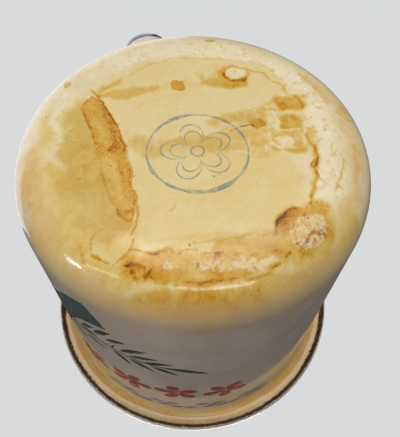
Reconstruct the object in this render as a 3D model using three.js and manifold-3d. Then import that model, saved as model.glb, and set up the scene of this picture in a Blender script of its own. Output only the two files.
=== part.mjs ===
// Enamelled steel mug: a deep-drawn cup with a rolled rim and one half-round strap handle,
// spot-welded to the wall at two turned-in feet. Millimetres, +Z up, origin at the middle of
// the underside of the base. The handle reaches out along +X.
import * as THREE from 'three';
import Module from 'manifold-3d';
import { mergeVertices } from 'three/addons/utils/BufferGeometryUtils.js';

// ---- Driving dimensions ----
// Cup
const bodyRadius = 44; // outside of the straight wall
const cupHeight = 88; // underside of the base to the top of the rim
const sheet = 1.0; // steel with enamel on both sides
const cornerRadius = 12.8; // outside of the rounded edge between base and wall
const rimFilletRadius = 3.0; // hollow fillet under the flange
const flangeFlat = 1.5; // flat part of the flange, before the roll
const rollRadius = 1.7; // outside of the rolled rim
const rollTurn = 165; // degrees that the roll turns through, leaving its groove open

// Handle
const strapWidth = 14;
const strapDepth = 5; // how far the half-round channel is hollowed
const strapSheet = 1.0;
const handleReach = 28; // wall to the outermost ridge
const handleLowRidge = 16; // height of the lower arm's ridge above the base
const handleRidgeBelowTop = 12; // the top of the rim down to the upper arm's ridge
const handleBendRadius = 15; // outer bends, on the ridge
const footBendRadius = 4.5; // bends from the arms into the feet, on the ridge
const footLength = 9.5; // straight part of each foot along the wall
const flareInBend = 0.2; // share of the channel that is formed by the end of the foot's bend

// Spot welds
const weldDiameter = 4;
const weldSpacing = 7; // between the two welds of one foot
const weldProud = 0.4; // how far a weld stands out of its foot

// Fits
const jointGap = 0.3; // between touching pieces

// ---- Fineness of the faceted surfaces ----
const cupSides = 60;
const cornerSteps = 6;
const filletSteps = 4;
const rollSteps = 8;
const bendSteps = 6;
const footBendSteps = 4;
const armSteps = 4;
const strapSteps = 8; // across the strap
const weldSides = 20;

const colours = { enamel: 0xe6dcc0, handle: 0xe9e6e2, weld: 0xddd8cf };

const degrees = THREE.MathUtils.degToRad;

function enamel(colour) {
  return new THREE.MeshStandardMaterial({ color: colour, roughness: 0.25, metalness: 0 });
}

// Points of an arc about a centre, each with the outward direction of the arc there.
function arc(cx, cy, radius, fromDegrees, toDegrees, steps) {
  return Array.from({ length: steps + 1 }, (unused, i) => {
    const angle = degrees(fromDegrees + ((toDegrees - fromDegrees) * i) / steps);
    const out = new THREE.Vector2(Math.cos(angle), Math.sin(angle));
    return { out, at: new THREE.Vector2(cx, cy).addScaledVector(out, radius) };
  });
}

// ---- Cup ----
// The middle of the sheet from the axis to the end of the roll, with the direction that
// points out of the cup (down at the base, outwards at the wall).
function cupMidline() {
  const half = sheet / 2;
  const corner = arc(
    bodyRadius - cornerRadius, cornerRadius, cornerRadius - half, -90, 0, cornerSteps,
  );
  const rollMid = rollRadius - half;
  const filletMid = rimFilletRadius + half;
  const filletTop = cupHeight - half;
  const fillet = arc(
    bodyRadius + rimFilletRadius, filletTop - filletMid, filletMid, 180, 90, filletSteps,
  ).map(({ at, out }) => ({ at, out: out.clone().negate() }));
  const rollCentre = bodyRadius + rimFilletRadius + flangeFlat;
  const roll = arc(
    rollCentre, filletTop - rollMid, rollMid, 90, 90 - rollTurn, rollSteps,
  ).map(({ at, out }) => ({ at, out: out.clone().negate() }));
  const middle = { at: new THREE.Vector2(0, half), out: new THREE.Vector2(0, -1) };
  return [middle, ...corner, ...fillet, ...roll];
}

function cupShell() {
  const midline = cupMidline();
  const side = (shift) => midline.map(({ at, out }) => at.clone().addScaledVector(out, shift));
  const profile = [...side(sheet / 2), ...side(-sheet / 2).reverse()];
  for (const end of [profile[0], profile[profile.length - 1]]) end.x = 0;
  return new THREE.LatheGeometry(profile, cupSides).rotateX(Math.PI / 2);
}

// ---- Handle ----
// The ridge of the strap in the plane of the handle, foot to foot. `out` is the direction
// that the outer face looks, and `round` is 0 on a foot, which lies on the wall, and 1 where
// the strap is the full half-round channel.
function handleRidge() {
  const wall = bodyRadius + jointGap;
  const outer = bodyRadius + handleReach;
  const high = cupHeight - handleRidgeBelowTop;
  const low = handleLowRidge;
  const footLow = low + footBendRadius;
  const footHigh = high - footBendRadius;
  const towardsWall = new THREE.Vector2(-1, 0);
  const onFoot = (z) => ({ at: new THREE.Vector2(wall, z), out: towardsWall, round: 0 });
  const growing = (points, from, to) => points.map((point, i) => {
    const share = i / (points.length - 1);
    return { ...point, round: THREE.MathUtils.lerp(from, to, share) };
  });
  const foot = wall + footBendRadius;
  const bend = outer - handleBendRadius;
  // An arm runs straight from its foot's bend to the outer bend, without either end point.
  const arm = (z, facing) => Array.from({ length: armSteps - 1 }, (unused, i) => {
    const share = (i + 1) / armSteps;
    return {
      at: new THREE.Vector2(THREE.MathUtils.lerp(foot, bend, share), z),
      out: new THREE.Vector2(0, facing),
      round: THREE.MathUtils.lerp(flareInBend, 1, share),
    };
  });
  const lowFoot = arc(foot, footLow, footBendRadius, 180, 270, footBendSteps);
  const lowBend = arc(bend, low + handleBendRadius, handleBendRadius, -90, 0, bendSteps);
  const highBend = arc(bend, high - handleBendRadius, handleBendRadius, 0, 90, bendSteps);
  const highFoot = arc(foot, footHigh, footBendRadius, 90, 180, footBendSteps);
  return [
    onFoot(footLow + footLength),
    ...growing(lowFoot, 0, flareInBend),
    ...arm(low, -1),
    ...growing(lowBend, 1, 1),
    ...growing(highBend, 1, 1),
    ...arm(high, 1).reverse(),
    ...growing(highFoot, flareInBend, 0),
    onFoot(footHigh - footLength),
  ];
}

// How far behind the ridge a face lies at a distance across the strap: a half ellipse on
// the channel, blending into the curve of the cup's wall on a foot.
function strapFall(across, halfWidth, depth, round, seat) {
  const share = Math.min(1, Math.abs(across) / halfWidth);
  const channel = depth * (1 - Math.sqrt(1 - share * share));
  const wallCurve = seat - Math.sqrt(seat * seat - across * across);
  return round * channel - (1 - round) * wallCurve;
}

function strapSection(round) {
  const half = strapWidth / 2;
  const seat = bodyRadius + jointGap;
  const points = [];
  for (let i = 0; i <= strapSteps; i++) {
    const across = -half * Math.cos((Math.PI * i) / strapSteps);
    points.push([across, -strapFall(across, half, strapDepth, round, seat)]);
  }
  const inner = half - strapSheet * round;
  const innerDepth = strapDepth - strapSheet;
  for (let i = strapSteps; i >= 0; i--) {
    const across = -inner * Math.cos((Math.PI * i) / strapSteps);
    const fall = strapFall(across, inner, innerDepth, round, seat);
    points.push([across, -strapSheet - fall]);
  }
  return points;
}

function handleStrap() {
  const positions = [];
  const faces = [];
  const ridge = handleRidge();
  const perRing = 2 * (strapSteps + 1);
  for (const { at, out, round } of ridge) {
    for (const [across, along] of strapSection(round)) {
      positions.push(at.x + out.x * along, across, at.y + out.y * along);
    }
  }
  for (let ring = 0; ring < ridge.length - 1; ring++) {
    for (let i = 0; i < perRing; i++) {
      const a = ring * perRing + i;
      const b = ring * perRing + ((i + 1) % perRing);
      faces.push(a, b, a + perRing, b, b + perRing, a + perRing);
    }
  }
  const last = (ridge.length - 1) * perRing;
  for (let i = 0; i < strapSteps; i++) {
    const j = perRing - 1 - i;
    faces.push(i, j, i + 1, i + 1, j, j - 1);
    faces.push(last + i, last + i + 1, last + j, last + i + 1, last + j - 1, last + j);
  }
  const geometry = new THREE.BufferGeometry();
  geometry.setAttribute('position', new THREE.Float32BufferAttribute(positions, 3));
  geometry.setIndex(faces);
  return geometry;
}

// ---- Spot welds ----
// Each weld is a short plug along the wall's own radius, through a hole in the foot.
function weldPlug(diameter, innerRadius, outerRadius, side, height) {
  const plug = new THREE.CylinderGeometry(
    diameter / 2, diameter / 2, outerRadius - innerRadius, weldSides,
  );
  plug.rotateZ(-Math.PI / 2);
  plug.translate((innerRadius + outerRadius) / 2, 0, height);
  plug.rotateZ((side * weldSpacing) / 2 / bodyRadius);
  return plug;
}

function weldPlaces() {
  const fromBend = footBendRadius + footLength / 2;
  const heights = {
    lower: handleLowRidge + fromBend,
    upper: cupHeight - handleRidgeBelowTop - fromBend,
  };
  const sides = { left: 1, right: -1 };
  return Object.entries(heights).flatMap(([level, height]) =>
    Object.entries(sides).map(([hand, side]) => ({ name: `weld_${level}_${hand}`, side, height })),
  );
}

// ---- Boolean cuts ----
const wasm = await Module();
wasm.setup();

function toSolid(geometry) {
  const bare = geometry.clone();
  bare.deleteAttribute('normal');
  bare.deleteAttribute('uv');
  const merged = mergeVertices(bare);
  return new wasm.Manifold(new wasm.Mesh({
    numProp: 3,
    vertProperties: new Float32Array(merged.attributes.position.array),
    triVerts: new Uint32Array(merged.index.array),
  }));
}

function toGeometry(solid) {
  const mesh = solid.getMesh();
  const geometry = new THREE.BufferGeometry();
  geometry.setAttribute('position', new THREE.BufferAttribute(mesh.vertProperties, 3));
  geometry.setIndex(new THREE.BufferAttribute(mesh.triVerts, 1));
  return geometry;
}

function pierced(strap, places) {
  const footFace = bodyRadius + jointGap + strapSheet;
  const clear = footFace + footBendRadius;
  return places.reduce((solid, { side, height }) => {
    const hole = weldPlug(weldDiameter + 2 * jointGap, bodyRadius - jointGap, clear, side, height);
    return solid.subtract(toSolid(hole));
  }, toSolid(strap));
}

// ---- Assembly ----
const mug = new THREE.Group();

function add(name, geometry, colour) {
  if (!geometry.attributes.normal) geometry.computeVertexNormals();
  const mesh = new THREE.Mesh(geometry, enamel(colour));
  mesh.name = name;
  mug.add(mesh);
}

const welds = weldPlaces();
add('cup_shell', cupShell(), colours.enamel);
add('handle_strap', toGeometry(pierced(handleStrap(), welds)), colours.handle);
for (const { name, side, height } of welds) {
  const inner = bodyRadius + jointGap;
  const outer = inner + strapSheet + weldProud;
  add(name, weldPlug(weldDiameter, inner, outer, side, height), colours.weld);
}

export default mug;
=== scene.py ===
import math
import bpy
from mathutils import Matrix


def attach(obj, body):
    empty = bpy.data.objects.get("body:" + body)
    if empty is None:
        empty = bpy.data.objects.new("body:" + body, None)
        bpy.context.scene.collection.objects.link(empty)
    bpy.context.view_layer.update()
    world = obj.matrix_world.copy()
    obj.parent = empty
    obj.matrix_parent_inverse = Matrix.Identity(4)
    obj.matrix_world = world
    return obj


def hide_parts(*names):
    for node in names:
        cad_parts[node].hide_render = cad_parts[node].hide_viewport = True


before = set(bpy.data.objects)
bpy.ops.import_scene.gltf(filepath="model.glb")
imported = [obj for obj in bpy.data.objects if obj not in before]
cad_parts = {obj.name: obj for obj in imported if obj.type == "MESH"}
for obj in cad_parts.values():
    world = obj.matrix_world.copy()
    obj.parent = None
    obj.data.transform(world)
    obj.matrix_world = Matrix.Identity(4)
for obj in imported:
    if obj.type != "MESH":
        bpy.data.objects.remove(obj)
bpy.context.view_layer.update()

from types import SimpleNamespace

import bpy
import numpy as np
from mathutils import Matrix, Vector, noise

# ---------------------------------------------------------------- sizes, in millimetres
MM = 0.001

# Cup
BODY_RADIUS = 44.0
CUP_HEIGHT = 88.0
SHEET = 1.0
CORNER_RADIUS = 12.8
RIM_FILLET_RADIUS = 3.0
FLANGE_FLAT = 1.5
ROLL_RADIUS = 1.7
ROLL_TURN = 165.0

# Handle
STRAP_WIDTH = 14.0
STRAP_DEPTH = 5.0
STRAP_SHEET = 1.0
HANDLE_REACH = 28.0
HANDLE_LOW_RIDGE = 16.0
HANDLE_RIDGE_BELOW_TOP = 12.0
HANDLE_BEND_RADIUS = 15.0
FOOT_BEND_RADIUS = 4.5
FOOT_LENGTH = 9.5
FOOT_END_ROUND = 3.0
FLARE_IN_BEND = 0.2
JOINT_GAP = 0.3

# Spot welds
WELD_DIAMETER = 4.0
WELD_SPACING = 7.0
WELD_PROUD = 0.4

FLAT_RADIUS = BODY_RADIUS - CORNER_RADIUS
ROLL_CENTRE = BODY_RADIUS + RIM_FILLET_RADIUS + FLANGE_FLAT
SEAT_RADIUS = BODY_RADIUS + JOINT_GAP
HANDLE_HIGH_RIDGE = CUP_HEIGHT - HANDLE_RIDGE_BELOW_TOP

# The mug is looked at turned over, standing on its mouth. In that view x runs to the right,
# y away from the viewer and z up from the underside of the base, and the handle is behind,
# swung a little to the left. Stains, decoration, lights and camera are all placed in it.
HANDLE_SWING = math.radians(16.8)


def turned_over(x, y, z=0.0):
    """A place in the turned-over view, in millimetres, as a place in the frame, in metres."""
    s, c = math.sin(HANDLE_SWING), math.cos(HANDLE_SWING)
    return Vector((c * y - s * x, c * x + s * y, -z)) * MM


def plan_in_turned_over(places):
    """The x and y in the turned-over view of places in the frame."""
    s, c = math.sin(HANDLE_SWING), math.cos(HANDLE_SWING)
    return c * places[:, 1] - s * places[:, 0], c * places[:, 0] + s * places[:, 1]


def srgb(text):
    """A colour written as six hexadecimal digits, as linear RGBA."""
    parts = [int(text[i:i + 2], 16) / 255 for i in (0, 2, 4)]
    return [p / 12.92 if p <= 0.04045 else ((p + 0.055) / 1.055) ** 2.4 for p in parts] + [1.0]


# ---------------------------------------------------------------- camera
CAMERA_DISTANCE = 110.0
CAMERA_TILT = math.radians(56.29)
CAMERA_ROLL = math.radians(1.52)
CAMERA_RIGHT = 1.94
CAMERA_UP = -20.6
CAMERA_NEAR = 5.0
LENS = 38.88
SENSOR = 36.0


def axes_matrix(x_axis, y_axis, z_axis, place):
    rows = [[x_axis[i], y_axis[i], z_axis[i], place[i]] for i in range(3)]
    return Matrix(rows + [[0, 0, 0, 1]])


def make_camera():
    forward = turned_over(0, math.cos(CAMERA_TILT), -math.sin(CAMERA_TILT)).normalized()
    right = turned_over(1, 0, 0).normalized()
    up = right.cross(forward)
    place = (-forward * CAMERA_DISTANCE + right * CAMERA_RIGHT + up * CAMERA_UP) * MM
    rolled_right = right * math.cos(CAMERA_ROLL) + up * math.sin(CAMERA_ROLL)
    rolled_up = up * math.cos(CAMERA_ROLL) - right * math.sin(CAMERA_ROLL)
    data = bpy.data.cameras.new("camera")
    data.sensor_fit = "VERTICAL"
    data.sensor_height = SENSOR
    data.lens = LENS
    data.clip_start = CAMERA_NEAR * MM
    camera = bpy.data.objects.new("camera", data)
    bpy.context.scene.collection.objects.link(camera)
    camera.matrix_world = axes_matrix(rolled_right, rolled_up, -forward, place)
    bpy.context.scene.camera = camera


# ---------------------------------------------------------------- shader helpers
class Shader:
    """Adds nodes to a node tree and joins them as they are made."""

    def __init__(self, tree):
        self.tree = tree
        tree.nodes.clear()

    def node(self, kind, inputs=None, **settings):
        made = self.tree.nodes.new(kind)
        for name, value in settings.items():
            setattr(made, name, value)
        for key, value in (inputs or {}).items():
            self.feed(made.inputs[key], value)
        return made

    def feed(self, socket, value):
        if isinstance(value, bpy.types.NodeSocket):
            self.tree.links.new(value, socket)
        else:
            socket.default_value = value

    def math(self, operation, a, b=0.0, clamp=False):
        return self.node(
            "ShaderNodeMath", {0: a, 1: b}, operation=operation, use_clamp=clamp
        ).outputs[0]

    def times(self, first, *others):
        for other in others:
            first = self.math("MULTIPLY", first, other)
        return first

    def plus(self, first, *others):
        for other in others:
            first = self.math("ADD", first, other)
        return first

    def minus(self, a, b):
        return self.math("SUBTRACT", a, b)

    def distance(self, a, b):
        return self.math("ABSOLUTE", self.minus(a, b))

    def vector(self, operation, a, b):
        """Vector maths, where b is the factor of a SCALE."""
        second = "Scale" if operation == "SCALE" else 1
        return self.node("ShaderNodeVectorMath", {0: a, second: b}, operation=operation).outputs[0]

    def parts(self, place):
        return self.node("ShaderNodeSeparateXYZ", {0: place}).outputs

    def span(self, value, low, high, to_low=0.0, to_high=1.0, smooth=True):
        """value between low and high, spread from to_low to to_high."""
        return self.node(
            "ShaderNodeMapRange",
            {"Value": value, "From Min": low, "From Max": high,
             "To Min": to_low, "To Max": to_high},
            interpolation_type="SMOOTHSTEP" if smooth else "LINEAR",
        ).outputs[0]

    def mix(self, share, a, b):
        made = self.node("ShaderNodeMix", data_type="RGBA")
        colours = [s for s in made.inputs if s.type == "RGBA"]
        self.feed(made.inputs[0], share)
        self.feed(colours[0], a)
        self.feed(colours[1], b)
        return next(s for s in made.outputs if s.type == "RGBA")

    def noise(self, place, scale, detail=3.0, rough=0.55, warp=0.0, give="Fac"):
        return self.node(
            "ShaderNodeTexNoise",
            {"Vector": place, "Scale": scale, "Detail": detail, "Roughness": rough,
             "Distortion": warp},
        ).outputs[give]

    def voronoi(self, place, scale, **settings):
        return self.node("ShaderNodeTexVoronoi", {"Vector": place, "Scale": scale}, **settings).outputs

    def field(self, name):
        return self.node("ShaderNodeAttribute", attribute_name=name).outputs["Fac"]

    def ramp(self, value, stops):
        made = self.node("ShaderNodeValToRGB", {"Fac": value})
        held = made.color_ramp.elements
        while len(held) < len(stops):
            held.new(0.5)
        for element, (at, colour) in zip(held, stops):
            element.position = at
            element.color = srgb(colour)
        return made.outputs["Color"]

    def place_in_mm(self):
        coordinates = self.node("ShaderNodeTexCoord").outputs["Object"]
        return self.vector("SCALE", coordinates, 1 / MM)


def group(name, inputs, outputs):
    """A new shader group, its Shader, and its input sockets by name."""
    tree = bpy.data.node_groups.new(name, "ShaderNodeTree")
    kinds = {"vector": "NodeSocketVector", "value": "NodeSocketFloat", "colour": "NodeSocketColor"}
    for way, sockets in (("INPUT", inputs), ("OUTPUT", outputs)):
        for label, kind in sockets:
            tree.interface.new_socket(label, in_out=way, socket_type=kinds[kind])
    shader = Shader(tree)
    return tree, shader, shader.node("NodeGroupInput").outputs


def close_group(tree, shader, results):
    shader.node("NodeGroupOutput", results)
    return tree


def use(shader, tree, inputs):
    return shader.node("ShaderNodeGroup", inputs, node_tree=tree).outputs


def enamel_skin_group():
    """Fired glass on steel: soft waves, a fine orange peel, and pin holes with dirt in them."""
    tree, s, into = group(
        "enamel_skin",
        [("Place", "vector"), ("Wave", "value"), ("Peel", "value"), ("Pin holes", "value")],
        [("Height", "value"), ("Pin dirt", "value")],
    )
    place = into["Place"]
    wave = s.times(s.noise(place, 0.09, 1.0), into["Wave"])
    peel = s.times(s.noise(place, 1.1, 2.0), into["Peel"])
    size = s.span(s.noise(place, 0.16, 2.0), 0.5, 0.75, 0.0, 0.16)
    away = s.voronoi(place, 0.42)["Distance"]
    pin = s.math("LESS_THAN", away, s.times(size, into["Pin holes"]))
    height = s.minus(s.plus(wave, peel), s.times(pin, 0.05))
    return close_group(tree, s, {"Height": height, "Pin dirt": pin})


def mottle_group():
    """Uneven drying: a broad cloud broken by a finer one, spread to the full range."""
    tree, s, into = group(
        "mottle", [("Place", "vector"), ("Size", "value"), ("Break up", "value")],
        [("Value", "value")],
    )
    broad = s.noise(into["Place"], s.math("DIVIDE", 1.0, into["Size"]), 2.0, 0.5, 0.6)
    fine = s.noise(into["Place"], s.math("DIVIDE", 4.5, into["Size"]), 4.0, 0.62, 0.3)
    both = s.node("ShaderNodeMix", {0: into["Break up"], 2: broad, 3: fine}, data_type="FLOAT")
    return close_group(tree, s, {"Value": s.span(both.outputs[0], 0.33, 0.67, smooth=False)})


def crackle_group():
    """A net of crooked lines between cells, and how light or dark each cell is."""
    tree, s, into = group(
        "crackle", [("Place", "vector"), ("Size", "value"), ("Wander", "value")],
        [("Lines", "value"), ("Cells", "value")],
    )
    fineness = s.math("DIVIDE", 1.0, into["Size"])
    wander = s.noise(into["Place"], s.times(fineness, 1.4), 3.0, 0.6, give="Color")
    centred = s.vector("SUBTRACT", wander, (0.5, 0.5, 0.5))
    moved = s.vector("ADD", into["Place"], s.vector("SCALE", centred, into["Wander"]))
    edges = s.voronoi(moved, fineness, feature="DISTANCE_TO_EDGE")["Distance"]
    cells = s.voronoi(moved, fineness)["Color"]
    shade = s.node("ShaderNodeSeparateColor", {0: cells}).outputs[0]
    return close_group(tree, s, {"Lines": s.span(edges, 0.0, 0.12, 1.0, 0.0), "Cells": shade})


def chip_group():
    """Where enamel has flaked off near an edge: a scalloped mask and rusty steel under it, darkened to
    near black as painted shade in the rim's groove.
    """
    tree, s, into = group(
        "chip", [("Place", "vector"), ("Distance", "value"), ("Reach", "value")],
        [("Mask", "value"), ("Colour", "colour"), ("Lip", "value")],
    )
    scallop = s.times(s.minus(s.voronoi(into["Place"], 0.75)["Distance"], 0.45), 0.45)
    ragged = s.minus(s.noise(into["Place"], 1.6, 3.0), 0.5)
    away = s.plus(into["Distance"], s.plus(scallop, ragged))
    past = s.minus(away, into["Reach"])
    # Rust tones down to near black: rusty steel, and painted shade in the groove under the roll.
    rust_and_groove_shade = s.ramp(
        s.noise(into["Place"], 2.2, 4.0),
        [(0.25, "0f0b09"), (0.5, "241810"), (0.66, "3b2415"), (0.85, "5e3819")],
    )
    return close_group(tree, s, {
        "Mask": s.span(past, -0.12, 0.12, 1.0, 0.0), "Colour": rust_and_groove_shade,
        "Lip": s.span(past, 0.0, 0.7, 1.0, 0.0),
    })


BUMP_DEPTH = 0.25


def finish_enamel(material, shader, colour, roughness, height):
    bump = shader.node(
        "ShaderNodeBump", {"Strength": 1.0, "Distance": BUMP_DEPTH * MM, "Height": height}
    )
    glass = shader.node(
        "ShaderNodeBsdfPrincipled",
        {"Base Color": colour, "Roughness": roughness, "Normal": bump.outputs[0], "IOR": 1.52},
    )
    shader.node("ShaderNodeOutputMaterial", {"Surface": glass.outputs[0]})
    return material


def new_material(name):
    material = bpy.data.materials.new(name)
    material.use_nodes = True
    return material, Shader(material.node_tree)


def clouded(s, mottle, place, size, break_up):
    return use(s, mottle, {"Place": place, "Size": size, "Break up": break_up})["Value"]


def net(s, crackle, place, size, wander):
    return use(s, crackle, {"Place": place, "Size": size, "Wander": wander})


def under_skin(s, skin, place, coloured, skin_look, dirt, dirt_share):
    """The colour with dirt in the pin holes, and the height of the enamel's skin.

    skin_look holds how strong the waves, the orange peel and the pin holes are.
    """
    wave, peel, pin_holes = skin_look
    made = use(s, skin, {"Place": place, "Wave": wave, "Peel": peel, "Pin holes": pin_holes})
    return s.mix(s.times(made["Pin dirt"], dirt_share), coloured, srgb(dirt)), made["Height"]


# ---------------------------------------------------------------- the stains on the base
# Places are (right, away) of the base's middle in the turned-over view. Each stain has its
# outline and its strength, from 0 to 1.
def ellipse(at, half, turn=0.0, square=2.0):
    """An oval, or with a higher square, one with fuller corners. turn is in degrees."""
    return {"at": at, "half": half, "turn": math.radians(turn), "square": square}


def stroke(*points):
    """A drawn line: points of (right, away, half width)."""
    return {"points": points}


def hairline(*points):
    """A drawn line without a width of its own: points of (right, away)."""
    return stroke(*[(x, y, 0.0) for x, y in points])


# Thick amber stain with a hard edge
AMBER_STAINS = {
    "long_run": (stroke(
        (-25.2, 9.6, 0.9), (-24.6, 7.6, 2.4), (-23.6, 4.5, 3.0), (-21.0, 0.0, 3.0),
        (-18.8, -5.0, 3.0), (-17.4, -10.0, 2.8), (-15.9, -15.0, 2.5), (-14.5, -19.0, 2.3),
        (-13.3, -22.0, 2.0), (-13.0, -24.2, 1.7),
    ), 0.59),
    "run_end": (ellipse((-13.2, -23.6), (2.0, 2.5), 8), 0.78),
    "square_drop": (ellipse((-4.4, 15.1), (1.7, 1.8), 4, 5.0), 0.66),
    "middle_patch": (ellipse((15.1, 3.0), (1.8, 1.6), 20, 3.0), 0.70),
    "right_edge": (ellipse((27.3, -9.0), (0.8, 1.6), -12), 0.68),
    "foot_knot": (ellipse((-12.1, -34.9), (0.9, 0.4), -10), 0.96),
    "patch_link": (stroke((9.4, 0.7, 0.15), (11.4, 1.8, 0.28), (13.6, 2.7, 0.2)), 0.92),
    "bottom_left_dash": (stroke((-21.8, -31.2, 0.35), (-20.9, -33.2, 0.5)), 0.60),
    "rim_spot_top": (ellipse((3.4, 33.9), (1.5, 0.7), 0), 0.50),
    "rim_spot_left": (ellipse((-32.4, 15.6), (1.1, 2.0), 24), 0.60),
    "outer_spot_left": (ellipse((-37.5, 21.0), (1.0, 2.0), 30), 0.45),
}
# Thin stain with a soft, loose edge
WASHES = {
    "left": (ellipse((-25.0, -5.0), (5.4, 12.5), 8), 0.46),
    "left_low": (stroke((-24.0, -14.0, 5.0), (-20.5, -21.0, 5.6), (-15.5, -27.0, 4.2)), 0.50),
    "left_between": (stroke(
        (-30.0, -13.0, 2.4), (-28.0, -20.0, 2.6), (-23.5, -26.5, 2.6), (-21.0, -31.0, 2.0),
    ), 0.36),
    "left_edge_low": (stroke((-37, -9, 2.8), (-34, -18, 3.2), (-29, -26, 3.0), (-23, -32, 2.4)), 0.38),
    "loop": (ellipse((-14.6, -31.6), (5.5, 4.6), 0), 0.27),
    "loop_low": (stroke((-20.5, -34.5, 1.6), (-15.5, -36.4, 1.8), (-10.5, -36.0, 1.8)), 0.46),
    "left_edge": (stroke((-35.5, 6, 1.4), (-34.5, -4, 1.8), (-33.5, -13, 1.8)), 0.26),
    "top_streak_faint": (stroke((-9.5, 14.0, 1.0), (-4.5, 15.3, 1.6), (2.5, 17.5, 1.6)), 0.28),
    "edge_streak": (stroke((-23.5, 12.2, 0.3), (-20.5, 14.8, 0.6), (-18.2, 17.2, 0.7)), 0.50),
    "drop_tail": (ellipse((1.9, 19.4), (2.0, 1.0), -14), 0.38),
    "drop_round": (ellipse((8.5, 18.5), (4.8, 4.0), 0), 0.30),
    "stamp_left": (ellipse((-11.0, -6.0), (6.0, 1.8), -2), 0.42),
    "stamp_middle": (stroke((-6, -4.2, 1.5), (0, -3.0, 2.0), (6, -4.0, 4.0), (11, -2.5, 3.2)), 0.40),
    "stamp_top_right": (stroke((3.5, 4.0, 1.2), (8.0, 4.8, 2.6), (13.0, 5.6, 2.2)), 0.44),
    "right": (ellipse((20.0, 0.5), (7.5, 7.4), 0, 3.0), 0.46),
    "right_low": (ellipse((15.5, -6.2), (3.6, 1.5), 6), 0.46),
    "right_rise": (stroke((17.5, 6.5, 1.2), (20.0, 12.0, 1.0), (25.5, 12.6, 0.8)), 0.40),
    "bottom_band": (stroke(
        (-11, -35.2, 1.8), (-5, -34.6, 2.4), (3, -34.6, 2.4), (11, -32.8, 3.0), (18, -30.6, 2.4),
    ), 0.60),
    "round_lower_pool": (ellipse((23.3, -26.0), (7.2, 5.2), 38), 0.56),
    "corner_front": (stroke((-15, -41, 2.2), (-4, -42, 3.4), (8, -42, 4.4), (14, -41, 3.6)), 0.60),
    "corner_front_right": (stroke(
        (14, -40, 4.0), (22, -37, 3.6), (30, -31, 3.0), (36, -24, 2.0),
    ), 0.44),
    "corner_left": (stroke((-33, -27, 2.8), (-25, -34, 2.8), (-16, -39.0, 2.8)), 0.34),
    "outer_right": (stroke(
        (31.5, 17.5, 1.8), (35.5, 10.0, 2.4), (37.6, 2.0, 2.6), (37.8, -7.0, 2.4),
        (36.0, -14.5, 1.6),
    ), 0.20),
    "outer_right_low": (stroke((36, -15, 1.8), (33, -22, 2.2), (30, -28, 2.0)), 0.28),
    "panel": (ellipse((0.0, 3.0), (25.5, 23.5), 0, 2.4), 0.18),
    "panel_low": (ellipse((3.6, -17.4), (20.5, 15.2), 0, 2.8), 0.22),
}
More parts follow.
